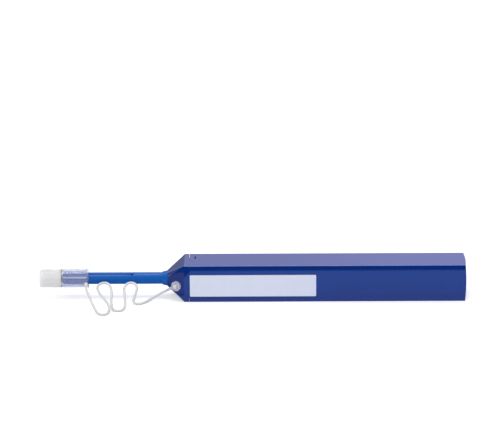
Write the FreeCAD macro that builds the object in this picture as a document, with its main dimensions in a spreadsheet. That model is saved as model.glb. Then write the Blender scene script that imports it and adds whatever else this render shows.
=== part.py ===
"""One-push fibre connector cleaning pen, as a parametric FreeCAD document.

Frame: millimetres, +Z up. The pen lies along X with its nozzle at -X and its tail at +X, and rests
on the flat bottom of its square case. The origin is the middle of that footprint.

A square case holds a sliding chassis with two thread reels. Pressing the nozzle against a connector
slides the chassis back against the return spring. A rack inside the case then turns the pinion, which
winds used thread on, and a fixed pin in the helical groove of the cam rotor turns the cleaning tip
through half a turn.
"""
import FreeCAD, Part
import math
import os
import re

import PartDesign
import Sketcher
import Spreadsheet
from FreeCAD import Placement, Rotation, Vector

SIZES = {
    # Case and tail
    "case_width": 18.0,
    "case_wall": 1.5,
    "case_length": 124.9,
    "case_edge_radius": 0.3,
    "tail_length": 5.9,
    "tail_edge_radius": 0.6,
    "tail_dome_radius": 90.0,
    "tail_spigot_length": 6.0,
    "tail_spigot_wall": 1.4,
    "tail_post_length": 4.0,
    # Nose cone with its snap tabs and the hole for the tether's rivet
    "cone_tip_width": 7.2,
    "cone_tip_corner": 2.6,
    "cone_length": 8.05,
    "cone_throat": 4.0,
    "throat_clearance": 0.18,
    "lip_length": 2.35,
    "seam_gap": 0.12,
    "spigot_length": 8.0,
    "spigot_wall": 1.6,
    "spigot_gap": 0.1,
    "tab_inset": 2.5,
    "tab_thickness": 0.4,
    "tab_width": 4.1,
    "tab_height": 1.1,
    "tab_offset": 2.65,
    "tab_clearance": 0.1,
    "rivet_inset": 4.5,
    "rivet_drop": 1.6,
    "rivet_radius": 0.7,
    "rivet_depth": 1.2,
    "rivet_end_gap": 0.1,
    "rivet_head_radius": 1.0,
    "rivet_head_height": 0.55,
    "rivet_head_gap": 0.3,
    "rivet_dome": 0.4,
    # Collar at the mouth of the nose
    "collar_length": 2.6,
    "collar_front_radius": 3.1,
    "collar_rear_radius": 3.7,
    "collar_shank_radius": 3.3,
    "collar_shank_length": 2.0,
    # Label
    "label_length": 59.4,
    "label_height": 10.6,
    "label_inset": 0.3,
    "label_bottom": 2.8,
    "label_thickness": 0.12,
    "label_corner": 0.4,
    # Nozzle tube, its slim mouthpiece and its keyway
    "tube_exposed": 34.8,
    "tube_radius": 2.8,
    "tube_bore_radius": 1.9,
    "tube_fit": 0.06,
    "flange_radius": 3.5,
    "flange_length": 3.0,
    "keyway_width": 1.2,
    "keyway_depth": 0.35,
    "keyway_start": 5.0,
    "keyway_end": 33.4,
    "keyway_angle": 38.0,
    "notch_length": 1.4,
    "notch_width": 1.3,
    "notch_depth": 0.75,
    "mouth_radius": 1.2,
    "mouth_bore_radius": 0.72,
    "mouth_length": 4.6,
    # Guide cap and dust cover
    "cap_radius": 4.35,
    "cap_wall": 0.8,
    "cap_length": 12.9,
    "cap_floor": 0.7,
    "cap_floor_gap": 0.2,
    "cap_rib_width": 0.8,
    "cap_rib_count": 4,
    "cap_rib_angle": 65.4,
    "cap_rib_gap": 0.1,
    "cap_rim_height": 0.25,
    "cap_rim_length": 1.0,
    "sleeve_radius": 3.2,
    "sleeve_length": 8.2,
    "sleeve_bore_radius": 1.6,
    "ferrule_radius": 0.65,
    "ferrule_length": 2.4,
    "cover_length": 10.3,
    "cover_corner": 0.9,
    "cover_rim_gap": 0.05,
    "cover_fit": 0.05,
    "cover_front_gap": 0.4,
    # Nozzle holder and friction ring
    "holder_radius": 4.6,
    "holder_lip": 4.6,
    "holder_gap": 0.1,
    "extension": 15.0,
    "extension_spare": 2.3,
    "ring_start": 1.5,
    "ring_length": 1.4,
    "ring_depth": 0.75,
    "ring_fit": 0.02,
    # Chassis
    "push_stroke": 8.0,
    "chassis_stop_gap": 0.1,
    "chassis_gap": 0.3,
    "chassis_wall": 0.9,
    "chassis_front_bulkhead": 3.0,
    "chassis_bulkhead": 2.0,
    "rotor_bay": 14.6,
    "reel_bay": 40.0,
    "bearing_clearance": 0.06,
    "boss_height": 0.5,
    "boss_radius": 2.2,
    "dowel_radius": 0.7,
    "dowel_length": 2.0,
    "dowel_inset": 1.3,
    "press_gap": 0.02,
    "spring_boss_length": 4.0,
    "window_length": 12.0,
    "window_height": 5.0,
    "window_corner": 1.0,
    # Tip rod, cleaning tip and tip spring
    "rod_radius": 1.5,
    "rod_bore_radius": 1.0,
    "rod_rear_bore_radius": 0.7,
    "rod_lip": 0.8,
    "rod_lip_radius": 0.72,
    "rod_setback": 2.0,
    "rod_tail": 4.3,
    "rod_flat": 1.15,
    "rod_flat_length": 36.0,
    "rod_gap": 0.1,
    "tip_radius": 0.62,
    "tip_reach": 1.4,
    "tip_tail": 3.2,
    "tip_tail_radius": 0.92,
    "tip_travel": 1.0,
    "tip_groove_depth": 0.2,
    "tip_groove_width": 0.5,
    "tip_spring_length": 4.0,
    "tip_spring_wire": 0.2,
    "tip_spring_turns": 7,
    "tip_spring_gap": 0.08,
    # Cam rotor and its pin
    "rotor_radius": 3.5,
    "journal_radius": 2.4,
    "rotor_end_gap": 0.2,
    "cam_lead": 16.0,
    "cam_groove_width": 1.3,
    "cam_groove_depth": 1.0,
    "cam_inset": 3.4,
    "cam_pin_radius": 0.5,
    "cam_pin_gap": 0.15,
    "cam_pin_seat": 0.6,
    "cam_boss_radius": 1.5,
    "cam_slot_gap": 0.4,
    # Rack and pinion
    "gear_module": 0.5,
    "pressure_angle": 20.0,
    "pinion_teeth": 16,
    "gear_backlash": 0.12,
    "gear_clearance": 0.12,
    "pinion_width": 2.4,
    "pinion_gap": 0.3,
    "pinion_spacer": 0.6,
    "rack_overrun": 4.5,
    "rack_slot_gap": 0.4,
    # Reels, axles and thread
    "reel_flange": 0.7,
    "reel_hub_radius": 2.0,
    "reel_side_gap": 0.3,
    "supply_inset": 13.0,
    "take_up_inset": 26.0,
    "supply_pack_depth": 0.8,
    "take_up_pack_radius": 3.4,
    "pack_ridge": 0.12,
    "pack_turns": 9,
    "axle_radius": 1.0,
    "axle_fit": 0.05,
    "ratchet_radius": 3.2,
    "ratchet_teeth": 12,
    "ratchet_depth": 0.5,
    "ratchet_wall": 0.6,
    "ratchet_length": 1.3,
    "ratchet_tooth_share": 0.7,
    "pawl_gap": 0.12,
    "pawl_thickness": 0.5,
    "pawl_angle": 69.0,
    "pawl_spoke_width": 0.6,
    "pawl_spoke_angle": 7.0,
    "guide_radius": 0.6,
    "guide_gap": 0.7,
    "guide_spread": 2.3,
    "thread_diameter": 0.3,
    "thread_spread": 1.0,
    "brake_thickness": 0.2,
    "brake_width": 1.1,
    "brake_length": 9.0,
    "brake_gap": 0.1,
    "brake_rise": 0.5,
    # Return spring
    "spring_radius": 3.6,
    "spring_wire": 0.7,
    "spring_turns": 9,
    "spring_seat_gap": 0.1,
    "spring_boss_gap": 0.25,
    # Tether
    "tether_diameter": 1.2,
    "eyelet_radius": 2.35,
    "eyelet_thickness": 1.2,
    "eyelet_gap": 0.1,
    "eyelet_stem_length": 3.2,
    "eyelet_stem_width": 1.9,
    "eyelet_stem_angle": 30.0,
    "lug_radius": 1.05,
    "lug_length": 1.9,
    "lug_angle": 18.0,
    # Chamfers, and how far a cut starts outside what it cuts
    "fine_chamfer": 0.15,
    "edge_chamfer": 0.2,
    "lead_chamfer": 0.3,
    "overcut": 1.0,
}

# Stations along X, each the front end of what it names. They follow from the lengths above.
STATIONS = {
    "overall": "cover_length + cap_length + tube_exposed + collar_length + cone_length"
               " + lip_length + case_length + tail_length",
    "cap_x": "cover_length - overall / 2",
    "collar_x": "cap_x + cap_length + tube_exposed",
    "cone_x": "collar_x + collar_length",
    "seam_x": "cone_x + cone_length + lip_length",
    "tail_x": "seam_x + case_length",
    "tube_x": "cap_x + cap_floor + cap_floor_gap",
    "chassis_x": "seam_x + spigot_length + chassis_stop_gap",
    "holder_length": "holder_lip + extension + extension_spare + flange_length + holder_gap",
    "holder_end_x": "chassis_x + holder_length",
    "rotor_x": "holder_end_x + chassis_bulkhead",
    "reel_bay_x": "rotor_x + rotor_bay + chassis_bulkhead",
    "supply_x": "reel_bay_x + supply_inset",
    "take_up_x": "reel_bay_x + take_up_inset",
    "guide_x": "supply_x - reel_radius - guide_gap - guide_radius",
    "chassis_end_x": "reel_bay_x + reel_bay + chassis_bulkhead",
    "cam_x": "rotor_x + rotor_bay - cam_inset",
    "rod_x": "tube_x + rod_setback",
    "axis_z": "case_width / 2",
    "case_inside": "case_width / 2 - case_wall",
    "chassis_half": "case_inside - chassis_gap",
    "chassis_inside": "chassis_half - chassis_wall",
    "pitch_radius": "gear_module * pinion_teeth / 2",
    "reel_y": "0 - chassis_inside + boss_height + reel_side_gap",
    "spacer_end_y": "chassis_inside - boss_height - reel_side_gap",
    "pinion_y": "spacer_end_y - pinion_spacer - pinion_width",
    "reel_width": "pinion_y - pinion_gap - ratchet_length - reel_y",
    "reel_radius": "chassis_inside - brake_rise - brake_gap",
    "supply_pack_radius": "reel_radius - supply_pack_depth",
    "rod_end_x": "reel_bay_x + rod_tail",
    "tip_x": "tube_x - mouth_length - tip_reach",
    "rack_pitch": "pi * gear_module",
    "cone_slope": "atan((case_width - cone_tip_width) / 2 / cone_length)",
}

doc = FreeCAD.newDocument("CleaningPen")
WORD = re.compile(r"[a-z_]{2,}(?![a-z_(])")


def full(formula):
    """The formula with each size and station written as a reference to its sheet."""
    def reference(found):
        word = found.group()
        if word in SIZES:
            return "Dims." + word
        return "Layout." + word if word in STATIONS else word
    return WORD.sub(reference, formula)


def fill_sheet(name, cells):
    """A spreadsheet with a name and a number, or a formula, in each row."""
    sheet = doc.addObject("Spreadsheet::Sheet", name)
    for row, (alias, content) in enumerate(cells.items(), start=1):
        if isinstance(content, str):
            content = "=" + full(content).replace(name + ".", "")
        sheet.set(f"A{row}", alias)
        sheet.set(f"B{row}", str(content))
        sheet.setAlias(f"B{row}", alias)
    doc.recompute()
    return sheet


dims = fill_sheet("Dims", SIZES)
fill_sheet("Layout", STATIONS)


def value(formula):
    """The number that a formula of sizes and stations gives."""
    return float(dims.evalExpression(full(formula)))


def bind(thing, path, formula):
    """Ties a property of the document object to a formula."""
    thing.setExpression(path, full(str(formula)))


def place(thing, x, y="0", z="axis_z"):
    """Ties the object's position in the pen's frame."""
    bind(thing, "Placement.Base.x", x)
    bind(thing, "Placement.Base.y", y)
    bind(thing, "Placement.Base.z", z)


sub_parts = []


def new_body(label, x, y="0", z="axis_z"):
    """A body whose own origin lies at the given point of the pen's frame."""
    body = doc.addObject("PartDesign::Body", label)
    body.Label = label
    place(body, x, y, z)
    sub_parts.append(body)
    return body


def origin_feature(body, role):
    """One of the body's own planes or axes."""
    return next(item for item in body.Origin.OriginFeatures if item.Role == role)


def sketch_on(body, role, lift="0", shift=("0", "0"), tilt=None):
    """A sketch on an origin plane: lifted along the normal, shifted in the plane and tilted about
    the plane's first or second axis, given as ("u" or "v", angle)."""
    sketch = body.newObject("Sketcher::SketchObject", body.Label + "_sketch")
    sketch.AttachmentSupport = [(origin_feature(body, role), "")]
    sketch.MapMode = "FlatFace"
    if tilt:
        axis = Vector(1, 0, 0) if tilt[0] == "u" else Vector(0, 1, 0)
        sketch.AttachmentOffset = Placement(Vector(), Rotation(axis, 1))
        bind(sketch, "AttachmentOffset.Rotation.Angle", tilt[1])
    for axis_name, formula in zip("xyz", (*shift, lift)):
        bind(sketch, "AttachmentOffset.Base." + axis_name, formula)
    return sketch


def outline(sketch, corners, arcs=None):
    """A closed line through the corners. Edge number n is an arc where arcs[n] gives its radius
    and its side: +1 bulges to the right of the line's direction, -1 to the left."""
    arcs = arcs or {}
    points = [Vector(value(u), value(v), 0) for u, v in corners]
    count = len(points)
    first = sketch.GeometryCount
    ends = []
    for number, start in enumerate(points):
        end = points[(number + 1) % count]
        if number not in arcs:
            ends.append((sketch.addGeometry(Part.LineSegment(start, end)), 1, 2))
            continue
        radius, side = arcs[number]
        size = value(radius)
        chord = end - start
        across = Vector(chord.y, -chord.x, 0).normalize() * side
        centre = (start + end) / 2 - across * math.sqrt(max(size**2 - (chord.Length / 2)**2, 0))
        tips = (start, end) if side > 0 else (end, start)
        angles = [math.atan2(tip.y - centre.y, tip.x - centre.x) for tip in tips]
        if angles[1] <= angles[0]:
            angles[1] += 2 * math.pi
        circle = Part.Circle(centre, Vector(0, 0, 1), size)
        geometry = sketch.addGeometry(Part.ArcOfCircle(circle, *angles))
        ends.append((geometry, 1, 2) if side > 0 else (geometry, 2, 1))
        datum = sketch.addConstraint(Sketcher.Constraint("Radius", geometry, size))
        bind(sketch, f"Constraints[{datum}]", radius)
    for number in range(count):
        here, after = ends[number], ends[(number + 1) % count]
        sketch.addConstraint(Sketcher.Constraint("Coincident", here[0], here[2], after[0], after[1]))
    for number, corner in enumerate(corners):
        geometry, start_point, _ = ends[number]
        for kind, formula, size in zip(("DistanceX", "DistanceY"), corner, points[number]):
            datum = sketch.addConstraint(
                Sketcher.Constraint(kind, -1, 1, geometry, start_point, size))
            bind(sketch, f"Constraints[{datum}]", formula)
    return first


def rectangle(sketch, left, bottom, right, top):
    outline(sketch, [(left, bottom), (right, bottom), (right, top), (left, top)])


def rounded_rectangle(sketch, left, bottom, right, top, corner):
    """A rectangle with an arc of the given radius at each corner."""
    outline(sketch,
            [(f"{left} + {corner}", bottom), (f"{right} - {corner}", bottom),
             (right, f"{bottom} + {corner}"), (right, f"{top} - {corner}"),
             (f"{right} - {corner}", top), (f"{left} + {corner}", top),
             (left, f"{top} - {corner}"), (left, f"{bottom} + {corner}")],
            {1: (corner, 1), 3: (corner, 1), 5: (corner, 1), 7: (corner, 1)})


def circle(sketch, radius, u="0", v="0"):
    centre = Vector(value(u), value(v), 0)
    geometry = sketch.addGeometry(Part.Circle(centre, Vector(0, 0, 1), value(radius)))
    size = sketch.addConstraint(Sketcher.Constraint("Radius", geometry, value(radius)))
    bind(sketch, f"Constraints[{size}]", radius)
    for kind, formula in (("DistanceX", u), ("DistanceY", v)):
        datum = sketch.addConstraint(
            Sketcher.Constraint(kind, -1, 1, geometry, 3, value(formula)))
        bind(sketch, f"Constraints[{datum}]", formula)


def extrude(body, sketch, kind, length, backwards=False, both_ways=False):
    """A pad or a pocket of the sketch."""
    feature = body.newObject("PartDesign::" + kind, f"{body.Label}_{kind.lower()}")
    feature.Profile = sketch
    feature.Reversed = backwards
    if both_ways:
        feature.SideType = "Symmetric"
    bind(feature, "Length", length)
    return feature


def pad(body, sketch, length, **ways):
    return extrude(body, sketch, "Pad", length, **ways)


def pocket(body, sketch, length, **ways):
    return extrude(body, sketch, "Pocket", length, **ways)


def turn(body, kind, sketch, axis="H_Axis"):
    """A revolution or a groove about an axis of the sketch."""
    feature = body.newObject("PartDesign::" + kind, f"{body.Label}_{kind.lower()}")
    feature.Profile = sketch
    feature.ReferenceAxis = (sketch, [axis])
    feature.Angle = 360
    return feature


def turned(body, corners, arcs=None, kind="Revolution", role="XZ_Plane"):
    """A turned form: the outline gives place along the axis, then radius."""
    sketch = sketch_on(body, role)
    outline(sketch, corners, arcs)
    return turn(body, kind, sketch)


def dress(body, kind, base, size, chosen):
    """A fillet or chamfer on the edges of the base feature that the test picks."""
    doc.recompute()
    names = [f"Edge{n}" for n, edge in enumerate(base.Shape.Edges, start=1) if chosen(edge)]
    feature = body.newObject("PartDesign::" + kind, f"{body.Label}_{kind.lower()}")
    feature.Base = (base, names)
    bind(feature, "Radius" if kind == "Fillet" else "Size", size)
    return feature


def along_x(edge):
    """Whether the edge is straight and runs along the pen."""
    ends = [vertex.Point for vertex in edge.Vertexes]
    return len(ends) == 2 and edge.Curve.TypeId == "Part::GeomLine" and (
        abs(ends[1].x - ends[0].x) > 0.99 * edge.Length)


def repeated(body, feature, kind, direction, count, span):
    """A polar or linear pattern of the feature, over the whole span."""
    pattern = body.newObject("PartDesign::" + kind, f"{body.Label}_pattern")
    pattern.Originals = [feature]
    if kind == "PolarPattern":
        pattern.Axis = direction
        pattern.Angle = 360
    else:
        pattern.Direction = direction
        bind(pattern, "Length", span)
    bind(pattern, "Occurrences", count)
    body.Tip = pattern
    return pattern


def snap_tabs(body, make, half, clearance, start):
    """Tabs, or windows for them, made right through the body above and below the axis."""
    plan = sketch_on(body, "XY_Plane")
    rectangle(plan, f"{start} - {clearance}", f"tab_offset - tab_width / 2 - {clearance}",
              f"{start} + tab_thickness + {clearance}", f"tab_offset + tab_width / 2 + {clearance}")
    make(body, plan, f"2 * ({half})", both_ways=True)


def case_shell():
    """The square tube of the case, with a window above and below for the nose's snap tabs and a
    boss inside for the cam pin."""
    body = new_body("case_shell", "seam_x")
    half = "case_width / 2"
    section = sketch_on(body, "YZ_Plane")
    rectangle(section, f"-{half}", f"-{half}", half, half)
    block = pad(body, section, "case_length")
    dress(body, "Fillet", block, "case_edge_radius", along_x)
    hollow = sketch_on(body, "YZ_Plane")
    rectangle(hollow, "-case_inside", "-case_inside", "case_inside", "case_inside")
    pocket(body, hollow, "case_length", backwards=True)
    snap_tabs(body, pocket, "case_width", "tab_clearance", "tab_inset")
    boss = sketch_on(body, "XY_Plane", lift="-case_inside")
    circle(boss, "cam_boss_radius", u="cam_x - seam_x")
    pad(body, boss, "chassis_gap + chassis_wall")
    seat = sketch_on(body, "XY_Plane", lift="-case_inside - cam_pin_seat")
    circle(seat, "cam_pin_radius", u="cam_x - seam_x")
    pocket(body, seat, "cam_pin_seat + chassis_gap + chassis_wall + overcut", backwards=True)


def nose_cone():
    """The tapering nose: a rounded square that grows to the case's own section and stops a hair
    short of it, a spigot with two snap tabs inside the case, a stepped throat for the nozzle, and
    a blind hole for the tether's rivet."""
    body = new_body("nose_cone", "cone_x")
    tip, base, spigot = "cone_tip_width / 2", "case_width / 2", "case_inside - spigot_gap"
    front = sketch_on(body, "YZ_Plane")
    rounded_rectangle(front, f"-{tip}", f"-{tip}", tip, tip, "cone_tip_corner")
    back = sketch_on(body, "YZ_Plane", lift="cone_length")
    rounded_rectangle(back, f"-{base}", f"-{base}", base, base, "case_edge_radius")
    taper = body.newObject("PartDesign::AdditiveLoft", "nose_taper")
    taper.Profile = front
    taper.Sections = [back]
    pad(body, back, "lip_length - seam_gap")
    stub = sketch_on(body, "YZ_Plane", lift="cone_length + lip_length - seam_gap")
    rectangle(stub, f"0 - ({spigot})", f"0 - ({spigot})", spigot, spigot)
    pad(body, stub, "spigot_length + seam_gap")
    snap_tabs(body, pad, f"{spigot} + tab_height", "0", "cone_length + lip_length + tab_inset")
    throat, wide = "tube_radius + throat_clearance", f"{spigot} - spigot_wall"
    turned(body, [("0 - overcut", "0"), ("0 - overcut", "collar_shank_radius"),
                  ("collar_shank_length", "collar_shank_radius"), ("collar_shank_length", throat),
                  ("cone_throat", throat), ("cone_length + lip_length", wide),
                  ("cone_length + lip_length + overcut", "0")], kind="Groove")
    cavity = sketch_on(body, "YZ_Plane", lift="cone_length + lip_length")
    rounded_rectangle(cavity, f"0 - ({wide})", f"0 - ({wide})", wide, wide, "case_edge_radius")
    pocket(body, cavity, "spigot_length", backwards=True)
    mouth = sketch_on(body, "XZ_Plane", tilt=("v", "-1 * cone_slope"),
                      shift=("rivet_inset", "0 - rivet_drop"),
                      lift=f"{tip} + rivet_inset * tan(cone_slope)")
    circle(mouth, "rivet_radius + press_gap")
    pocket(body, mouth, "rivet_depth + rivet_end_gap")


def nose_collar():
    """The tapered bush that guides the nozzle where it enters the nose."""
    body = new_body("nose_collar", "collar_x")
    bore, chamfer = "tube_radius + tube_fit", "fine_chamfer"
    shank = "collar_shank_radius - press_gap"
    turned(body, [("0", bore), ("collar_length + collar_shank_length", bore),
                  ("collar_length + collar_shank_length", shank), ("collar_length", shank),
                  ("collar_length", "collar_rear_radius"),
                  (chamfer, "collar_front_radius"), ("0", f"collar_front_radius - {chamfer}")])


def end_plug():
    """The tail: a full-width plug with a slightly domed end and rounded edges, a hollow spigot in
    the case, and a post that centres the return spring."""
    body = new_body("end_plug", "tail_x")
    half, spigot = "case_width / 2", "case_inside - spigot_gap"
    section = sketch_on(body, "YZ_Plane")
    rectangle(section, f"-{half}", f"-{half}", half, half)
    block = pad(body, section, "tail_length")
    sides = dress(body, "Fillet", block, "case_edge_radius", along_x)
    end = value("tail_length")
    dress(body, "Fillet", sides, "tail_edge_radius",
          lambda edge: all(abs(vertex.X - end) < 1e-6 for vertex in edge.Vertexes))
    reach, beyond = "case_width", "tail_length + overcut"
    sag = f"(tail_dome_radius - sqrt(tail_dome_radius^2 - {reach}^2))"
    turned(body, [("tail_length", "0"), (f"tail_length - {sag}", reach), (beyond, reach), (beyond, "0")],
           arcs={0: ("tail_dome_radius", 1)}, kind="Groove")
    stub = sketch_on(body, "YZ_Plane")
    rectangle(stub, f"0 - ({spigot})", f"0 - ({spigot})", spigot, spigot)
    pad(body, stub, "tail_spigot_length", backwards=True)
    wide = f"{spigot} - tail_spigot_wall"
    hollow = sketch_on(body, "YZ_Plane")
    rectangle(hollow, f"0 - ({wide})", f"0 - ({wide})", wide, wide)
    pocket(body, hollow, "tail_spigot_length")
    post = sketch_on(body, "YZ_Plane")
    circle(post, "spring_radius - spring_wire / 2 - spring_boss_gap")
    pad(body, post, "tail_post_length", backwards=True)


def label():
    """The thin label on the front of the case."""
    body = new_body("label", "seam_x + label_inset", "0 - case_width / 2", "label_bottom")
    plan = sketch_on(body, "XZ_Plane")
    rounded_rectangle(plan, "0", "0", "label_length", "label_height", "label_corner")
    pad(body, plan, "label_thickness")


def drive_rack():
    """The rack under the top wall of the case. Its own origin is the pinion's station at rest, on
    the pitch line, where a gap between two teeth stands over the pinion's top tooth."""
    body = new_body("drive_rack", "take_up_x", "pinion_y", "axis_z + pitch_radius + gear_clearance / 2")
    root = "gear_module + gear_clearance"
    bar = sketch_on(body, "XZ_Plane")
    rectangle(bar, "0 - rack_overrun", root, "push_stroke + rack_overrun",
              "case_inside - pitch_radius - gear_clearance / 2")
    pad(body, bar, "pinion_width", backwards=True)
    before = "floor(rack_overrun / rack_pitch)"
    count = f"{before} + floor((push_stroke + rack_overrun) / rack_pitch)"
    first = f"(0.5 - {before}) * rack_pitch"
    half = "(rack_pitch / 4 - gear_backlash / 4)"
    flank = "tan(pressure_angle)"
    tooth = sketch_on(body, "XZ_Plane")
    outline(tooth, [(f"{first} - {half} - ({root}) * {flank}", root),
                    (f"{first} - {half} + gear_module * {flank}", "0 - gear_module"),
                    (f"{first} + {half} - gear_module * {flank}", "0 - gear_module"),
                    (f"{first} + {half} + ({root}) * {flank}", root)])
    rib = pad(body, tooth, "pinion_width", backwards=True)
    repeated(body, rib, "LinearPattern", (origin_feature(body, "X_Axis"), [""]), count,
             f"({count} - 1) * rack_pitch")


def cam_pin():
    """The fixed steel pin that stands in the rotor's groove."""
    body = new_body("cam_pin", "cam_x", z="case_wall - cam_pin_seat")
    plan = sketch_on(body, "XY_Plane")
    circle(plan, "cam_pin_radius - press_gap")
    pad(body, plan, "axis_z - case_wall + cam_pin_seat - rotor_radius + cam_groove_depth"
                    " - cam_pin_gap")


def on_nose_side(label, gap):
    """A body whose XZ plane lies on the nose's sloping side, a gap outside it, at the rivet."""
    stand = f"(cone_tip_width / 2 + rivet_inset * tan(cone_slope) + {gap} / cos(cone_slope))"
    body = new_body(label, "cone_x + rivet_inset", f"0 - {stand}", "axis_z - rivet_drop")
    body.Placement = Placement(Vector(), Rotation(Vector(0, 0, 1), 1))
    place(body, "cone_x + rivet_inset", f"0 - {stand}", "axis_z - rivet_drop")
    bind(body, "Placement.Rotation.Angle", "-1 * cone_slope")
    return body


def tether_rivet():
    """The push rivet through the eyelet: a shank pressed into the nose, and a domed head."""
    body = on_nose_side("tether_rivet", "0")
    under = "(eyelet_gap + eyelet_thickness + rivet_head_gap)"
    shank = sketch_on(body, "XZ_Plane", lift="0 - rivet_depth")
    circle(shank, "rivet_radius")
    pad(body, shank, f"rivet_depth + {under}")
    head = sketch_on(body, "XZ_Plane", lift=under)
    circle(head, "rivet_head_radius")
    crown = pad(body, head, "rivet_head_height")
    dress(body, "Fillet", crown, "rivet_dome", is_rivet_crown)


def is_rivet_crown(edge):
    """Whether the edge is the outer rim of the rivet's head."""
    if edge.Curve.TypeId != "Part::GeomCircle":
        return False
    crown = value("eyelet_gap + eyelet_thickness + rivet_head_gap + rivet_head_height")
    return abs(edge.Curve.Center.y + crown) < value("rivet_head_height / 2")


def tether_eyelet():
    """The tether's ring round the rivet, with the thick stem that the strand grows from."""
    body = on_nose_side("tether_eyelet", "eyelet_gap")
    plan = sketch_on(body, "XZ_Plane")
    circle(plan, "eyelet_radius")
    pad(body, plan, "eyelet_thickness")
    stem = sketch_on(body, "XZ_Plane", lift="eyelet_thickness / 2")
    reach = "(eyelet_radius + eyelet_stem_length)"
    run, drop = f"{reach} * cos(eyelet_stem_angle)", f"{reach} * sin(eyelet_stem_angle)"
    side = ("eyelet_stem_width / 2", "tether_diameter / 2")
    outline(stem, [
        (f"0 - {side[0]} * sin(eyelet_stem_angle)", f"{side[0]} * cos(eyelet_stem_angle)"),
        (f"0 - {run} - {side[1]} * sin(eyelet_stem_angle)",
         f"0 - {drop} + {side[1]} * cos(eyelet_stem_angle)"),
        (f"0 - {run} + {side[1]} * sin(eyelet_stem_angle)",
         f"0 - {drop} - {side[1]} * cos(eyelet_stem_angle)"),
        (f"{side[0]} * sin(eyelet_stem_angle)", f"0 - {side[0]} * cos(eyelet_stem_angle)")])
    pad(body, stem, "eyelet_thickness", both_ways=True)
    hole = sketch_on(body, "XZ_Plane")
    circle(hole, "rivet_radius + eyelet_gap")
    pocket(body, hole, "eyelet_thickness", backwards=True)


def chassis_half(label, side):
    """One moulded half of the chassis: a long trough with bulkheads that carry the nozzle holder,
    the rotor's journals and the axles. Side is -1 for the near half and +1 for the far one."""
    body = new_body(label, "chassis_x")
    away = side > 0
    section = sketch_on(body, "XZ_Plane")
    rectangle(section, "0", "0 - chassis_half", "chassis_end_x - chassis_x", "chassis_half")
    pad(body, section, "chassis_half", backwards=away)
    bays = [("chassis_front_bulkhead", "holder_length - chassis_front_bulkhead"),
            ("rotor_x - chassis_x", "rotor_x - chassis_x + rotor_bay"),
            ("reel_bay_x - chassis_x", "reel_bay_x - chassis_x + reel_bay")]
    for start, end in bays:
        bay = sketch_on(body, "XZ_Plane")
        rectangle(bay, start, "0 - chassis_inside", end, "chassis_inside")
        pocket(body, bay, "chassis_inside", backwards=not away)
    turned(body, [("0 - overcut", "0"), ("0 - overcut", "holder_radius + press_gap"),
                  ("holder_length", "holder_radius + press_gap"), ("holder_length", "0")],
           kind="Groove")
    bearing = "journal_radius + bearing_clearance"
    turned(body, [("holder_length - overcut", "0"), ("holder_length - overcut", bearing),
                  ("reel_bay_x - chassis_x + overcut", bearing),
                  ("reel_bay_x - chassis_x + overcut", "0")], kind="Groove")
    axles = ("supply_x - chassis_x", "take_up_x - chassis_x")
    for station in axles:
        boss = sketch_on(body, "XZ_Plane", lift=f"{-side} * (chassis_inside - boss_height)")
        circle(boss, "boss_radius", u=station)
        pad(body, boss, "boss_height", backwards=away)
        hole = sketch_on(body, "XZ_Plane")
        circle(hole, "axle_radius + press_gap", u=station)
        pocket(body, hole, "chassis_half", backwards=not away)
    guides = sketch_on(body, "XZ_Plane")
    for sign in ("", "0 - "):
        circle(guides, "guide_radius + press_gap", u="guide_x - chassis_x",
               v=f"{sign}guide_spread / 2")
    pocket(body, guides, "chassis_half", backwards=not away)
    for station in (f"{axles[0]} + reel_radius + window_corner", "rotor_x - chassis_x + window_corner"):
        window = sketch_on(body, "XZ_Plane")
        rounded_rectangle(window, station, "0 - window_height / 2",
                          f"{station} + window_length / 2", "window_height / 2", "window_corner")
        pocket(body, window, "chassis_half", backwards=not away)
    slot = sketch_on(body, "XY_Plane", lift="0 - chassis_half")
    half_slot = "(cam_boss_radius + cam_slot_gap)"
    rectangle(slot, f"cam_x - chassis_x - push_stroke - {half_slot}", f"0 - {half_slot}",
              f"cam_x - chassis_x + {half_slot}", half_slot)
    pocket(body, slot, "2 * chassis_wall", backwards=True)
    dowels = sketch_on(body, "XZ_Plane")
    for sign in ("", "0 - "):
        for station in ("chassis_front_bulkhead / 2",
                        "holder_length + (chassis_bulkhead - chassis_front_bulkhead) / 2",
                        "reel_bay_x + reel_bay - chassis_x + chassis_bulkhead / 2"):
            circle(dowels, "dowel_radius" if side > 0 else "dowel_radius - press_gap",
                   u=station, v=f"{sign}(chassis_half - dowel_inset)")
    if side > 0:
        pocket(body, dowels, "dowel_length + press_gap")
        rack_slot(body)
    else:
        pad(body, dowels, "dowel_length", backwards=True)
    spring_boss = sketch_on(body, "YZ_Plane", lift="chassis_end_x - chassis_x")
    radius = "spring_radius - spring_wire / 2 - spring_boss_gap"
    outline(spring_boss, [("0", f"0 - ({radius})"), (f"{side} * ({radius})", "0"), ("0", radius)],
            {0: (radius, side), 1: (radius, side)})
    pad(body, spring_boss, "spring_boss_length")


def rack_slot(body):
    """The slot in the far half's top wall, in which the fixed rack stands while the chassis slides."""
    slot = sketch_on(body, "XY_Plane", lift="chassis_half")
    station = "take_up_x - chassis_x"
    rectangle(slot, f"{station} - push_stroke - rack_overrun - rack_slot_gap",
              "pinion_y - rack_slot_gap",
              f"{station} + push_stroke + rack_overrun + rack_slot_gap",
              "pinion_y + pinion_width + rack_slot_gap")
    pocket(body, slot, "2 * chassis_wall")


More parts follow.
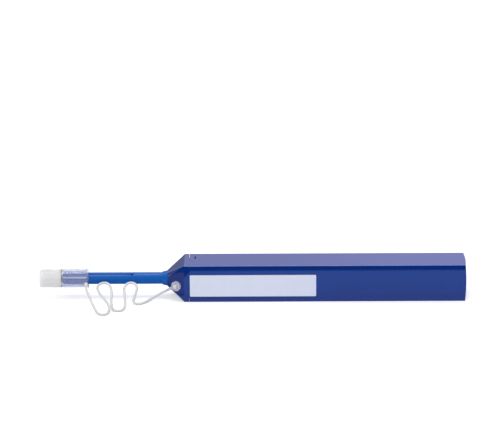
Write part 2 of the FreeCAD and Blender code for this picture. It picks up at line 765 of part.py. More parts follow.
def nozzle_holder():
    """The barrel in the chassis in which the nozzle's flange slides, with a guiding lip in front and
    a groove in the lip for the friction ring."""
    body = new_body("nozzle_holder", "chassis_x")
    lip, bore = "tube_radius + tube_fit", "flange_radius + holder_gap"
    seat = "tube_radius + ring_depth"
    turned(body, [("0", lip), ("ring_start", lip), ("ring_start", seat),
                  ("ring_start + ring_length", seat), ("ring_start + ring_length", lip),
                  ("holder_lip", lip), ("holder_lip", bore), ("holder_length", bore),
                  ("holder_length", "holder_radius"), ("lead_chamfer", "holder_radius"),
                  ("0", "holder_radius - lead_chamfer")])


def friction_ring():
    """The rubber ring that holds the nozzle wherever it is drawn out to."""
    body = new_body("friction_ring", "chassis_x + ring_start")
    inner, outer = "tube_radius + ring_fit", "tube_radius + ring_depth - press_gap"
    crown = "fine_chamfer"
    turned(body, [(f"press_gap + {crown}", inner), (f"ring_length - press_gap - {crown}", inner),
                  ("ring_length - press_gap", f"{inner} + {crown}"),
                  ("ring_length - press_gap", outer), ("press_gap", outer),
                  ("press_gap", f"{inner} + {crown}")])


def pins(label, stations, radius, length):
    """Steel pins across the pen, pressed into both halves of the chassis."""
    body = new_body(label, stations[0][0])
    plan = sketch_on(body, "XZ_Plane")
    for x, z in stations:
        circle(plan, radius, u=f"({x}) - ({stations[0][0]})", v=z)
    pad(body, plan, length, both_ways=True)


def brake_spring():
    """A bowed leaf on the chassis floor that brakes the supply reel's flange."""
    body = new_body("brake_spring", "supply_x", "reel_y - brake_width / 4", "axis_z - chassis_inside")
    rise = "(chassis_inside - reel_radius - brake_gap)"
    half, foot = "brake_length / 2", "brake_length / 4"
    plan = sketch_on(body, "XZ_Plane")
    outer = f"(({foot})^2 + ({rise} - brake_thickness)^2) / (2 * ({rise} - brake_thickness))"
    outline(plan, [(f"0 - {half}", "0"), (f"0 - {foot}", "0"), (foot, "0"), (half, "0"),
                   (half, "brake_thickness"), (foot, "brake_thickness"),
                   (f"0 - {foot}", "brake_thickness"), (f"0 - {half}", "brake_thickness")],
            {1: (outer, -1), 5: (outer, 1)})
    pad(body, plan, "brake_width", backwards=True)


def coil_spring(label, x, length, radius, wire, turns):
    """A compression spring along the pen."""
    body = new_body(label, x)
    section = sketch_on(body, "XZ_Plane")
    circle(section, f"{wire} / 2", u=f"{wire} / 2", v=radius)
    coil = body.newObject("PartDesign::AdditiveHelix", label + "_coil")
    coil.Profile = section
    coil.ReferenceAxis = (section, ["H_Axis"])
    coil.Mode = "height-turns-angle"
    bind(coil, "Height", f"{length} - {wire}")
    bind(coil, "Turns", turns)


def nozzle_tube():
    """The nozzle: a tube with a flange inside the holder, and a shallow keyway that runs from under
    the guide cap to a deeper notch."""
    body = new_body("nozzle_tube", "tube_x")
    end = "(holder_end_x - holder_gap - tube_x)"
    turned(body, [("0", "tube_bore_radius"), (end, "tube_bore_radius"), (end, "flange_radius"),
                  (f"{end} - flange_length", "flange_radius"), (f"{end} - flange_length", "tube_radius"),
                  ("edge_chamfer", "tube_radius"), ("0", "tube_radius - edge_chamfer")])
    for start, stop, width, depth in (
            ("keyway_start", "keyway_end", "keyway_width", "keyway_depth"),
            ("keyway_end - notch_length", "keyway_end", "notch_width", "notch_depth")):
        floor = sketch_on(body, "XY_Plane", tilt=("u", "keyway_angle"),
                          shift=("0", f"0 - (tube_radius - {depth}) * sin(keyway_angle)"),
                          lift=f"(tube_radius - {depth}) * cos(keyway_angle)")
        rectangle(floor, start, f"0 - {width} / 2", stop, f"{width} / 2")
        pocket(body, floor, "tube_radius", backwards=True)


def nozzle_mouth():
    """The slim mouthpiece in the end of the tube that reaches into an adapter."""
    body = new_body("nozzle_mouth", "tube_x")
    shank = "rod_setback - rod_gap"
    turned(body, [("0 - mouth_length", "mouth_bore_radius"), (shank, "mouth_bore_radius"),
                  (shank, "tube_bore_radius - press_gap"), ("0", "tube_bore_radius - press_gap"),
                  ("0", "mouth_radius"), ("lead_chamfer - mouth_length", "mouth_radius"),
                  ("0 - mouth_length", "mouth_radius - edge_chamfer")])


def tip_rod():
    """The hollow rod that turns the cleaning tip. Two flats slide in the rotor's bore."""
    body = new_body("tip_rod", "rod_x")
    end, step = "(rod_end_x - rod_x)", "(rod_lip + tip_tail + tip_spring_length)"
    turned(body, [("0", "rod_lip_radius"), ("rod_lip", "rod_lip_radius"), ("rod_lip", "rod_bore_radius"),
                  (step, "rod_bore_radius"), (step, "rod_rear_bore_radius"),
                  (end, "rod_rear_bore_radius"), (end, "rod_radius"), ("0", "rod_radius")])
    for sign, backwards in (("", True), ("0 - ", False)):
        flat = sketch_on(body, "XY_Plane", lift=f"{sign}rod_flat")
        rectangle(flat, f"{end} - rod_flat_length", "0 - rod_radius", end, "rod_radius")
        pocket(body, flat, "rod_radius", backwards=backwards)


def cleaning_tip():
    """The tip that presses the cleaning thread on the connector's end face: a slim shank with a
    groove on each side for the thread, and a tail held in the rod against the tip spring."""
    body = new_body("cleaning_tip", "tip_x")
    tail = "(rod_x + rod_lip - tip_x)"
    turned(body, [("0", "0"), (f"{tail} + tip_tail", "0"), (f"{tail} + tip_tail", "tip_tail_radius"),
                  (tail, "tip_tail_radius"), (tail, "tip_radius"), ("fine_chamfer", "tip_radius"),
                  ("0", "tip_radius - fine_chamfer")])
    for sign, backwards in (("", True), ("0 - ", False)):
        groove = sketch_on(body, "XY_Plane", lift=f"{sign}(tip_radius - tip_groove_depth)")
        rectangle(groove, "0 - overcut", "0 - tip_groove_width / 2", f"{tail} + tip_tail",
                  "tip_groove_width / 2")
        pocket(body, groove, "tip_tail_radius", backwards=backwards)


def tip_thread():
    """The thread over the end of the tip and along its grooves."""
    body = new_body("tip_thread", "tip_x")
    tail = "rod_x + rod_lip + tip_tail - tip_x"
    inner = "(tip_radius - tip_groove_depth + press_gap)"
    outer = "(tip_radius - press_gap)"
    loop = sketch_on(body, "XZ_Plane")
    face = f"press_gap + {outer} - {inner}"
    outline(loop, [(f"0 - ({face})", f"0 - {outer}"), (tail, f"0 - {outer}"), (tail, f"0 - {inner}"),
                   ("0 - press_gap", f"0 - {inner}"), ("0 - press_gap", inner), (tail, inner),
                   (tail, outer), (f"0 - ({face})", outer)])
    pad(body, loop, "tip_groove_width - 2 * press_gap", both_ways=True)


def rod_thread():
    """The two runs of thread inside the rod."""
    body = new_body("rod_thread", "rod_x + rod_lip + tip_tail + tip_travel")
    section = sketch_on(body, "YZ_Plane")
    for sign in ("", "0 - "):
        circle(section, "thread_diameter / 2", v=f"{sign}thread_spread / 2")
    pad(body, section, "rod_end_x - rod_x - rod_lip - tip_tail - tip_travel")


def cam_rotor():
    """The rotor: a barrel between two journals, with a helical groove that the fixed pin follows
    for half a turn over the stroke, and a bore with two flats for the rod."""
    body = new_body("cam_rotor", "rotor_x")
    front, back = "rotor_end_gap", "(rotor_bay - rotor_end_gap)"
    journal = "(chassis_bulkhead - rotor_end_gap)"
    turned(body, [(f"0 - {journal}", "0"), (f"rotor_bay + {journal}", "0"),
                  (f"rotor_bay + {journal}", "journal_radius"), (back, "journal_radius"),
                  (back, "rotor_radius"), (front, "rotor_radius"), (front, "journal_radius"),
                  (f"0 - {journal}", "journal_radius")])
    bore = sketch_on(body, "YZ_Plane", lift=f"0 - {journal}")
    radius, flat = "(rod_radius + bearing_clearance)", "(rod_flat + bearing_clearance)"
    chord = f"sqrt({radius}^2 - {flat}^2)"
    outline(bore, [(f"0 - {chord}", f"0 - {flat}"), (chord, f"0 - {flat}"), (chord, flat),
                   (f"0 - {chord}", flat)], {1: (radius, 1), 3: (radius, 1)})
    pocket(body, bore, f"rotor_bay + 2 * {journal}", backwards=True)
    rest, half = "(rotor_bay - cam_inset)", "cam_groove_width / 2"
    floor = "(rotor_radius - cam_groove_depth)"
    wide = "(cam_groove_width / 2 / cos(atan(cam_lead / (2 * pi * rotor_radius))))"
    section = sketch_on(body, "XZ_Plane")
    rectangle(section, f"{rest} - {wide}", "0 - rotor_radius - overcut",
              f"{rest} + {wide}", f"0 - {floor}")
    groove = body.newObject("PartDesign::SubtractiveHelix", "cam_groove")
    groove.Profile = section
    groove.ReferenceAxis = (section, ["H_Axis"])
    groove.Mode = "pitch-height-angle"
    groove.Reversed = True
    bind(groove, "Pitch", "cam_lead")
    bind(groove, "Height", "push_stroke")
    for x, lift, backwards in ((rest, f"0 - {floor}", False), (f"{rest} - push_stroke", floor, True)):
        end = sketch_on(body, "XY_Plane", lift=lift)
        circle(end, half, u=x)
        pocket(body, end, "rotor_radius", backwards=backwards)


def thread_reel(label, x, ratchet):
    """A reel on its axle with a spacer or, for the take-up reel, an internal ratchet on its side."""
    body = new_body(label, x, "reel_y")
    bore, hub = "axle_radius + axle_fit", "reel_hub_radius"
    outer = [("reel_width", "reel_radius"), ("reel_width - reel_flange", "reel_radius"),
             ("reel_width - reel_flange", hub), ("reel_flange", hub), ("reel_flange", "reel_radius"),
             ("0", "reel_radius")]
    if ratchet:
        ring = "ratchet_radius + ratchet_wall"
        side = [("reel_width", bore), ("reel_width", "ratchet_radius - ratchet_depth"),
                ("reel_width + ratchet_length", "ratchet_radius - ratchet_depth"),
                ("reel_width + ratchet_length", ring), ("reel_width", ring)]
    else:
        side = [("spacer_end_y - reel_y", bore), ("spacer_end_y - reel_y", hub), ("reel_width", hub)]
    turned(body, [("0", bore), *side, *outer], role="YZ_Plane")
    if ratchet:
        saw = sketch_on(body, "XZ_Plane", lift="0 - reel_width - ratchet_length")
        base, depth = "(ratchet_radius - ratchet_depth)", "ratchet_radius"
        swing, foot = "(360 / ratchet_teeth * ratchet_tooth_share)", f"({base} - edge_chamfer)"
        outline(saw, [("0", foot), ("0", depth),
                      (f"{base} * sin({swing})", f"{base} * cos({swing})"),
                      (f"{foot} * sin({swing})", f"{foot} * cos({swing})")])
        tooth = pocket(body, saw, "ratchet_length", backwards=True)
        repeated(body, tooth, "PolarPattern", (origin_feature(body, "Y_Axis"), [""]),
                 "ratchet_teeth", "0")


def thread_pack(label, x, radius):
    """The thread wound on a reel, with a ridge for each turn that shows."""
    body = new_body(label, x, "reel_y + reel_flange")
    gap, inner = "press_gap", "reel_hub_radius + press_gap"
    width = "(reel_width - 2 * reel_flange - 2 * press_gap)"
    turns = int(value("pack_turns"))
    crest = [(f"{gap} + {width} * {step} / (2 * pack_turns)", radius if step % 2 else
              f"{radius} - pack_ridge") for step in range(2 * turns + 1)]
    turned(body, [(gap, inner), *crest, (f"{gap} + {width}", inner)], role="YZ_Plane")


def guide_cap():
    """The clear cap on the nozzle: a thin shell with inner ribs that grip the tube, a rear rim, and
    a slim front sleeve with the bore that takes a ferrule."""
    body = new_body("guide_cap", "cap_x")
    body.Placement = Placement(Vector(), Rotation(Vector(1, 0, 0), 1))
    place(body, "cap_x")
    bind(body, "Placement.Rotation.Angle", "cap_rib_angle")
    mouth = "(0 - sleeve_length)"
    inside = "(cap_radius - cap_wall)"
    rim = "(cap_radius + cap_rim_height)"
    turned(body, [(mouth, "ferrule_radius"), (f"{mouth} + ferrule_length", "ferrule_radius"),
                  (f"{mouth} + ferrule_length", "sleeve_bore_radius"), ("cap_floor", "sleeve_bore_radius"),
                  ("cap_floor", inside), ("cap_length", inside), ("cap_length", rim),
                  ("cap_length - cap_rim_length", rim), ("cap_length - cap_rim_length", "cap_radius"),
                  ("edge_chamfer", "cap_radius"), ("0", "cap_radius - edge_chamfer"),
                  ("0", "sleeve_radius"), (f"{mouth} + lead_chamfer", "sleeve_radius"),
                  (mouth, "sleeve_radius - lead_chamfer")])
    rib = sketch_on(body, "YZ_Plane", lift="cap_floor")
    rectangle(rib, "0 - cap_rib_width / 2", "tube_radius + cap_rib_gap",
              "cap_rib_width / 2", f"{inside} + cap_wall / 2")
    bar = pad(body, rib, "cap_length - cap_floor - cap_rim_length")
    repeated(body, bar, "PolarPattern", (origin_feature(body, "X_Axis"), [""]), "cap_rib_count", "0")


def tether_lug():
    """The lug on the guide cap's rim that the tether grows from."""
    body = new_body("tether_lug", "cap_x + cap_length - lug_radius")
    body.Placement = Placement(Vector(), Rotation(Vector(1, 0, 0), 1))
    place(body, "cap_x + cap_length - lug_radius")
    bind(body, "Placement.Rotation.Angle", "lug_angle")
    foot = "(cap_radius + cap_rim_height + press_gap)"
    base = sketch_on(body, "XZ_Plane", lift=foot)
    circle(base, "lug_radius")
    top = sketch_on(body, "XZ_Plane", lift=f"{foot} + lug_length")
    circle(top, "tether_diameter / 2")
    taper = body.newObject("PartDesign::AdditiveLoft", "lug_taper")
    taper.Profile = base
    taper.Sections = [top]


def dust_cover():
    """The frosted cover over the guide cap's sleeve, with a rounded closed front."""
    body = new_body("dust_cover", "cap_x")
    mouth, front = "(0 - cover_rim_gap)", "(0 - cover_length)"
    bore = "(sleeve_radius + cover_fit)"
    bottom = "(0 - sleeve_length - cover_front_gap)"
    turned(body, [(front, "0"), (bottom, "0"), (bottom, bore), (mouth, bore), (mouth, "cap_radius"),
                  (f"{front} + cover_corner", "cap_radius"), (front, "cap_radius - cover_corner")],
           arcs={5: ("cover_corner", 1)})


def feature(label, shape, x="0", y="0", z="0"):
    """A sub-part whose shape is worked out here, placed by formulas."""
    thing = doc.addObject("Part::Feature", label)
    thing.Label = label
    thing.Shape = shape
    place(thing, x, y, z)
    sub_parts.append(thing)


def on_circle(radius, angle):
    """A point about the Y axis. Angle zero points up."""
    return Vector(radius * math.sin(angle), 0, radius * math.cos(angle))


FLANK_STEPS = 5


def involute_gear(module, teeth, backlash, pressure, clearance):
    """The outline of a spur gear with involute flanks, and a tooth that points up."""
    pitch = module * teeth / 2
    base, tip, root = pitch * math.cos(pressure), pitch + module, pitch - module - clearance
    half_tooth = math.pi / (2 * teeth) - backlash / (4 * pitch) + math.tan(pressure) - pressure

    def flank(side, angle):
        rolls = [math.sqrt((tip / base)**2 - 1) * step / FLANK_STEPS for step in range(FLANK_STEPS + 1)]
        curve = Part.BSplineCurve()
        curve.interpolate([
            on_circle(base * math.sqrt(1 + roll**2),
                      angle + side * (half_tooth - roll + math.atan(roll))) for roll in rolls])
        return curve.toShape(), on_circle(base, angle + side * half_tooth), on_circle(
            tip, angle + side * (half_tooth - rolls[-1] + math.atan(rolls[-1])))

    edges = []
    for tooth in range(teeth):
        angle = 2 * math.pi * tooth / teeth
        rise, rise_foot, rise_tip = flank(-1, angle)
        fall, fall_foot, fall_tip = flank(1, angle)
        following = angle + 2 * math.pi / teeth
        floor = [on_circle(root, angle + half_tooth), on_circle(root, following - half_tooth)]
        edges += [rise, Part.Arc(rise_tip, on_circle(tip, angle), fall_tip).toShape(), fall,
                  Part.LineSegment(fall_foot, floor[0]).toShape(),
                  Part.Arc(floor[0], on_circle(root, angle + math.pi / teeth), floor[1]).toShape(),
                  Part.LineSegment(floor[1], on_circle(base, following - half_tooth)).toShape()]
    return Part.Face(Part.Wire(Part.__sortEdges__(edges)))


def drive_pinion():
    """The pinion under the rack, with two pawls that reach into the reel's ratchet."""
    width, length = value("pinion_width"), value("spacer_end_y - pinion_y")
    reach = value("pinion_gap + ratchet_length - press_gap")
    bore = value("axle_radius + axle_fit")
    toothed = involute_gear(value("gear_module"), int(value("pinion_teeth")), value("gear_backlash"),
                            math.radians(value("pressure_angle")), value("gear_clearance"))
    hub_radius = value("reel_hub_radius")
    along = Vector(0, 1, 0)
    parts = [toothed.extrude(along * width),
             Part.makeCylinder(hub_radius, reach + length, Vector(0, -reach, 0), along)]
    arm_outer = value("ratchet_radius - ratchet_depth - pawl_gap")
    arm_inner = arm_outer - value("pawl_thickness")
    span, spoke_turn = value("pawl_angle"), value("pawl_spoke_angle")
    spoke_width = value("pawl_spoke_width")
    for start in (0, 180):
        turns = [math.radians(start + span * share) for share in (0, 0.5, 1)]
        ring = [on_circle(arm_outer, angle) for angle in turns]
        ring += [on_circle(arm_inner, angle) for angle in reversed(turns)]
        arm = Part.Face(Part.Wire([
            Part.Arc(ring[0], ring[1], ring[2]).toShape(),
            Part.LineSegment(ring[2], ring[3]).toShape(),
            Part.Arc(ring[3], ring[4], ring[5]).toShape(),
            Part.LineSegment(ring[5], ring[0]).toShape()]))
        spoke = Part.makeBox(spoke_width, reach, (arm_outer + arm_inner) / 2,
                             Vector(-spoke_width / 2, -reach, 0))
        spoke.rotate(Vector(), along, start + spoke_turn)
        parts += [arm.extrude(along * reach).translated(Vector(0, -reach, 0)), spoke]
    solid = parts[0].multiFuse(parts[1:]).removeSplitter()
    overcut = value("overcut")
    hole = Part.makeCylinder(bore, reach + length + 2 * overcut, Vector(0, -reach - overcut, 0), along)
    feature("drive_pinion", solid.cut(hole), "take_up_x", "pinion_y", "axis_z")


def strand(label, points, diameter):
    """A round strand along straight runs joined by tangent arcs, as large as the runs allow."""
    edges, radii, here = [], [], points[0]
    for before, corner, after in zip(points, points[1:], points[2:]):
        back, on = before - corner, after - corner
        half_turn = (math.pi - back.getAngle(on)) / 2
        cut = 0.45 * min(back.Length, on.Length)
        radii.append(cut / math.tan(half_turn))
        start, end = corner + back.normalize() * cut, corner + on.normalize() * cut
        inward = (back + on).normalize()
        middle = corner + inward * (radii[-1] / math.cos(half_turn) - radii[-1])
        edges += [Part.LineSegment(here, start).toShape(), Part.Arc(start, middle, end).toShape()]
        here = end
    edges.append(Part.LineSegment(here, points[-1]).toShape())
    path = Part.Wire(edges)
    section = Part.Wire(Part.Circle(points[0], points[1] - points[0], diameter / 2).toShape())
    solid = path.makePipeShell([section], True, True)
    expected = math.pi * diameter**2 / 4 * path.Length
    print(f"{label}: length {path.Length:.1f}, smallest radius {min(radii):.2f},"
          f" volume {solid.Volume / expected:.4f} of section times length")
    feature(label, solid)


def tether():
    """The moulded tether from the guide cap's lug to the eyelet's stem: loops that rise over the
    front of the nozzle and come down on the surface that the pen lies on."""
    lug = Vector(-78.75, -6.25, 6.96)
    first_leg = [(-78.4, -8.96, 6.08), (-76.85, -13.2, 4.6), (-75.15, -18.8, 2.9),
                 (-73.15, -23.9, 1.3), (-71.55, -27.1, 0.65), (-68.05, -27.2, 0.65),
                 (-66.65, -23.2, 1.5), (-67.75, -18.6, 2.9), (-70.65, -13.6, 4.5),
                 (-72.85, -9.4, 5.8)]
    second_leg = [(-73.5, -5.9, 7.0), (-71.55, -4.3, 8.1), (-68.3, -4.3, 8.1), (-66.7, -6.9, 6.5),
                  (-66.35, -11.3, 4.7), (-66.55, -16.0, 2.9), (-65.75, -20.0, 1.2),
                  (-64.65, -22.1, 0.65), (-61.05, -22.0, 0.65), (-59.65, -18.8, 1.7),
                  (-60.0, -14.2, 3.5), (-60.5, -9.7, 5.1)]
    third_leg = [(-60.7, -6.2, 6.9), (-58.9, -4.3, 8.1), (-55.9, -4.3, 8.1), (-54.45, -6.3, 6.7),
                 (-55.1, -8.8, 4.6), (-56.15, -11.2, 2.4), (-56.0, -12.8, 0.9),
                 (-53.45, -13.3, 0.65), (-50.5, -10.6, 0.75), (-47.8, -7.5, 1.3),
                 (-45.1, -4.8, 2.1), (-42.3, -3.3, 3.2)]
    stem = Vector(-40.16, -4.545, 4.6)
    legs = [[Vector(*point) for point in leg] for leg in (first_leg, second_leg, third_leg)]
    joints = [lug, (legs[0][-1] + legs[1][0]) / 2, (legs[1][-1] + legs[2][0]) / 2, stem]
    names = ("tether_front", "tether_middle", "tether_rear")
    for number, (label, leg) in enumerate(zip(names, legs)):
        strand(label, [joints[number], *leg, joints[number + 1]], value("tether_diameter"))


def reel_threads():
    """The runs of thread between the rod and the reels, one over and one under the supply reel."""
    rod, supply, take_up = value("rod_end_x + press_gap"), value("supply_x"), value("take_up_x")
    guide, middle = value("guide_x"), value("reel_y + reel_width / 2")
    thread, height = value("thread_diameter"), value("axis_z")
    spread = value("thread_spread / 2")
    clear = 2 * thread
    over = value("guide_spread / 2 + guide_radius") + clear
    full, used = value("supply_pack_radius") + clear, value("take_up_pack_radius") + clear
    exit_x, lift, halfway = rod + value("rod_radius"), over - clear / 2, (guide + supply) / 2
    feed = [(rod, 0, spread), (exit_x, middle / 2, lift), (guide, middle, over),
            (halfway, middle, (over + full) / 2 + 2 * clear), (supply, middle, full)]
    back = [(rod, 0, -spread), (exit_x, middle / 2, -lift), (guide, middle, -over),
            (halfway, middle, -(over + full) / 2 - clear), (supply, middle, -full - thread / 2),
            ((supply + take_up) / 2, middle, -(full + used) / 2 - clear), (take_up, middle, -used)]
    for label, points in (("feed_thread", feed), ("return_thread", back)):
        strand(label, [Vector(x, y, z + height) for x, y, z in points], thread)


case_shell()
nose_cone()
nose_collar()
end_plug()
label()
drive_rack()
cam_pin()
tether_rivet()
tether_eyelet()
chassis_half("chassis_near", -1)
chassis_half("chassis_far", 1)
nozzle_holder()
friction_ring()
pins("supply_axle", [("supply_x", "0")], "axle_radius", "2 * (chassis_half - press_gap)")
pins("take_up_axle", [("take_up_x", "0")], "axle_radius", "2 * (chassis_half - press_gap)")
pins("thread_guides", [("guide_x", "guide_spread / 2"), ("guide_x", "0 - guide_spread / 2")],
     "guide_radius", "2 * (chassis_half - press_gap)")
brake_spring()
coil_spring("return_spring", "chassis_end_x + spring_seat_gap",
            "tail_x - chassis_end_x - 2 * spring_seat_gap", "spring_radius", "spring_wire",
            "spring_turns")
nozzle_tube()
nozzle_mouth()
tip_rod()
rod_thread()
coil_spring("tip_spring", "rod_x + rod_lip + tip_tail + tip_spring_gap",
            "tip_spring_length - 2 * tip_spring_gap",
            "rod_bore_radius - tip_spring_gap - tip_spring_wire / 2", "tip_spring_wire",
            "tip_spring_turns")
cleaning_tip()
tip_thread()
cam_rotor()
drive_pinion()
thread_reel("take_up_reel", "take_up_x", True)
thread_pack("take_up_pack", "take_up_x", "take_up_pack_radius")
thread_reel("supply_reel", "supply_x", False)
thread_pack("supply_pack", "supply_x", "supply_pack_radius")
guide_cap()
tether_lug()
dust_cover()
tether()
reel_threads()

doc.recompute()
failed = [item.Name for item in doc.Objects if {"Invalid", "Error"} & set(item.State)]
if failed:
    raise RuntimeError(f"these did not compute: {failed}")
broken = [part.Label for part in sub_parts if part.Shape.isNull() or not part.Shape.isValid()]
if broken:
    raise RuntimeError(f"these have no valid shape: {broken}")

os.makedirs("parts", exist_ok=True)
for part in sub_parts:
    part.Shape.exportStep(os.path.join("parts", part.Label + ".step"))
    box = part.Shape.optimalBoundingBox(False)
    print(f"{part.Label}: {len(part.Shape.Solids)} solid, volume {part.Shape.Volume:.1f},"
          f" x {box.XMin:.2f}..{box.XMax:.2f}, y {box.YMin:.2f}..{box.YMax:.2f},"
          f" z {box.ZMin:.2f}..{box.ZMax:.2f}")
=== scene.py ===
"""The looks of a one-push cleaning pen: moulded plastics, a clear guide cap, a frosted dust cover,
the translucent tether that loops from the cap to the nose, and the springs and thread that shorten
inside it. Lengths are in metres, and the tether's points in millimetres."""

import math

import bpy
import numpy as np
from mathutils import Matrix, Vector


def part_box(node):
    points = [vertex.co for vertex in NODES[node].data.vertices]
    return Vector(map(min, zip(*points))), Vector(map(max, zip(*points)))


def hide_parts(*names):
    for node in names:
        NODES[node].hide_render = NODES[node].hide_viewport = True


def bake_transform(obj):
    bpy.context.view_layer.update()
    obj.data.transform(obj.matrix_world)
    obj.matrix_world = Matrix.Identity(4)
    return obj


MM = 0.001
TAU = 2 * math.pi

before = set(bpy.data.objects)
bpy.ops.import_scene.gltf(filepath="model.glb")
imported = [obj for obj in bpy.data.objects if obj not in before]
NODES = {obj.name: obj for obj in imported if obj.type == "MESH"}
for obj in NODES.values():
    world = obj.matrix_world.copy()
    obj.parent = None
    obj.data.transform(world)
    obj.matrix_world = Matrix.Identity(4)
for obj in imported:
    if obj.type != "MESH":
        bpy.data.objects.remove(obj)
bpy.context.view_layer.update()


# ---------------------------------------------------------------- materials

def node_maker(tree):
    """A function that adds a node to the tree, with its settings and with values or links for its
    sockets."""
    def node(kind, sockets=None, **settings):
        made = tree.nodes.new(kind)
        for key, setting in settings.items():
            setattr(made, key, setting)
        for key, content in (sockets or {}).items():
            if isinstance(content, bpy.types.NodeSocket):
                tree.links.new(content, made.inputs[key])
            else:
                made.inputs[key].default_value = content
        return made

    return node


def new_material(name):
    """An empty node material and the maker of its nodes."""
    material = bpy.data.materials.new(name)
    material.use_nodes = True
    material.node_tree.nodes.clear()
    return material, node_maker(material.node_tree)


def finish_material(material, node, shader):
    """The material with this shader on its surface."""
    node("ShaderNodeOutputMaterial", {"Surface": shader.outputs[0]})
    return material


def noise(node, where, scale, detail=2.0, rough=0.5):
    """Fractal noise on the given coordinates, with its scale in waves a metre."""
    return node("ShaderNodeTexNoise", {
        "Vector": where, "Scale": scale, "Detail": detail, "Roughness": rough}).outputs["Fac"]


def spread(node, source, low, high):
    """The source's middle half stretched over the range from low to high."""
    return node("ShaderNodeMapRange", {
        "Value": source, "From Min": 0.25, "From Max": 0.75, "To Min": low, "To Max": high}).outputs[0]


def two_tones(node, source, first, second):
    """A colour between two that follows the source."""
    ramp = node("ShaderNodeValToRGB", {"Fac": source})
    ramp.color_ramp.elements[0].position = 0.3
    ramp.color_ramp.elements[0].color = (*first, 1)
    ramp.color_ramp.elements[1].position = 0.7
    ramp.color_ramp.elements[1].color = (*second, 1)
    return ramp.outputs["Color"]


def bump(node, height, strength, depth):
    """A normal that leans as if the height stood proud by the depth."""
    return node("ShaderNodeBump", {
        "Height": height, "Strength": strength, "Distance": depth}).outputs["Normal"]


def tone(colour, share):
    """The colour made darker or lighter."""
    return tuple(channel * share for channel in colour)


# How far in from the case's side the painted edge highlight starts, and where it is full.
EDGE_HIGHLIGHT_START, EDGE_HIGHLIGHT_FULL = 0.00028, 0.0002


def painted_edge_highlight(node, where, base, pale):
    """The base colour with a painted highlight: turned pale on the case's four long rounded edges,
    where the distances across and up from its axis both come near half its width. The painted
    highlight comes and goes a little."""
    low, high = (Vector(corner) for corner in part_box("case_shell"))
    from_axis = node("ShaderNodeVectorMath", {0: where, 1: (0, 0, (low.z + high.z) / 2)},
                     operation="SUBTRACT").outputs["Vector"]
    size = node("ShaderNodeVectorMath", {0: from_axis}, operation="ABSOLUTE").outputs["Vector"]
    apart = node("ShaderNodeSeparateXYZ", {"Vector": size}).outputs
    nearer = node("ShaderNodeMath", {0: apart["Y"], 1: apart["Z"]}, operation="MINIMUM").outputs[0]
    on_edge = node("ShaderNodeMapRange", {
        "Value": nearer, "From Min": high.y - EDGE_HIGHLIGHT_START, "From Max": high.y - EDGE_HIGHLIGHT_FULL}).outputs[0]
    # The painted highlight comes and goes in soft patches along the edges.
    highlight_patches = spread(node, noise(node, where, 260.0, 3.0), 0.75, 1.0)
    highlit = node("ShaderNodeMath", {0: on_edge, 1: highlight_patches}, operation="MULTIPLY").outputs[0]
    return node("ShaderNodeMix", {0: highlit, 6: base, 7: (*pale, 1)}, data_type="RGBA").outputs[2]


def moulded(name, colour, gloss, grain=2600.0, depth=0.00002, variation=0.06, edge_highlight=None,
            **shader):
    """Injection-moulded plastic: a faint drift of colour along the flow, a roughness that comes and
    goes in soft patches, the fine orange peel of a mould and, on the case, painted edge highlights."""
    material, node = new_material(name)
    where = node("ShaderNodeTexCoord").outputs["Object"]
    flow = node("ShaderNodeMapping", {"Vector": where, "Scale": (0.35, 1.0, 1.0)}).outputs["Vector"]
    drift = noise(node, flow, 140.0, 3.0)
    patches = noise(node, where, 420.0, 3.0, 0.6)
    peel = noise(node, where, grain, 2.0, 0.45)
    body = two_tones(node, drift, tone(colour, 1 - variation), tone(colour, 1 + variation))
    # A painted highlight: the case's long rounded edges turn pale lavender, in place of light on them.
    if edge_highlight:
        body = painted_edge_highlight(node, where, body, edge_highlight)
    return finish_material(material, node, node("ShaderNodeBsdfPrincipled", {
        "Base Color": body,
        "Roughness": spread(node, patches, gloss * 0.8, gloss * 1.25),
        "Normal": bump(node, peel, 0.25, depth), **shader}))


def steel(name, colour, gloss):
    """Ground steel: fine rings of tool marks round the pin's length."""
    material, node = new_material(name)
    where = node("ShaderNodeTexCoord").outputs["Object"]
    lay = node("ShaderNodeMapping", {"Vector": where, "Scale": (1.0, 12.0, 1.0)}).outputs["Vector"]
    marks = noise(node, lay, 1500.0, 4.0, 0.7)
    return finish_material(material, node, node("ShaderNodeBsdfPrincipled", {
        "Base Color": two_tones(node, marks, tone(colour, 0.9), tone(colour, 1.05)),
        "Metallic": 1.0,
        "Roughness": spread(node, marks, gloss * 0.7, gloss * 1.4),
        "Normal": bump(node, marks, 0.2, 0.00001)}))


def twisted(name, colour):
    """Microfibre thread: fine diagonal strands over a soft, slightly uneven white."""
    material, node = new_material(name)
    where = node("ShaderNodeTexCoord").outputs["Object"]
    strands = node("ShaderNodeTexWave", {
        "Vector": where, "Scale": 2600.0, "Distortion": 3.0, "Detail": 2.0, "Detail Scale": 1.5},
        wave_type="BANDS", bands_direction="DIAGONAL").outputs["Fac"]
    fuzz = noise(node, where, 5200.0, 3.0, 0.7)
    return finish_material(material, node, node("ShaderNodeBsdfPrincipled", {
        "Base Color": two_tones(node, strands, tone(colour, 0.82), colour),
        "Roughness": spread(node, fuzz, 0.75, 0.95),
        "Sheen Weight": 0.3,
        "Normal": bump(node, strands, 0.6, 0.00004)}))


def film(name, colour):
    """Satin label stock: a faint paper tooth under a thin varnish."""
    material, node = new_material(name)
    where = node("ShaderNodeTexCoord").outputs["Object"]
    tooth = noise(node, where, 3800.0, 4.0, 0.65)
    cloud = noise(node, where, 260.0, 3.0)
    return finish_material(material, node, node("ShaderNodeBsdfPrincipled", {
        "Base Color": two_tones(node, cloud, tone(colour, 0.975), colour),
        "Roughness": spread(node, tooth, 0.38, 0.52),
        "Specular IOR Level": 0.4,
        "Normal": bump(node, tooth, 0.15, 0.00001)}))


CAP_RIM, CAP_WALL = 0.00025, 0.0008


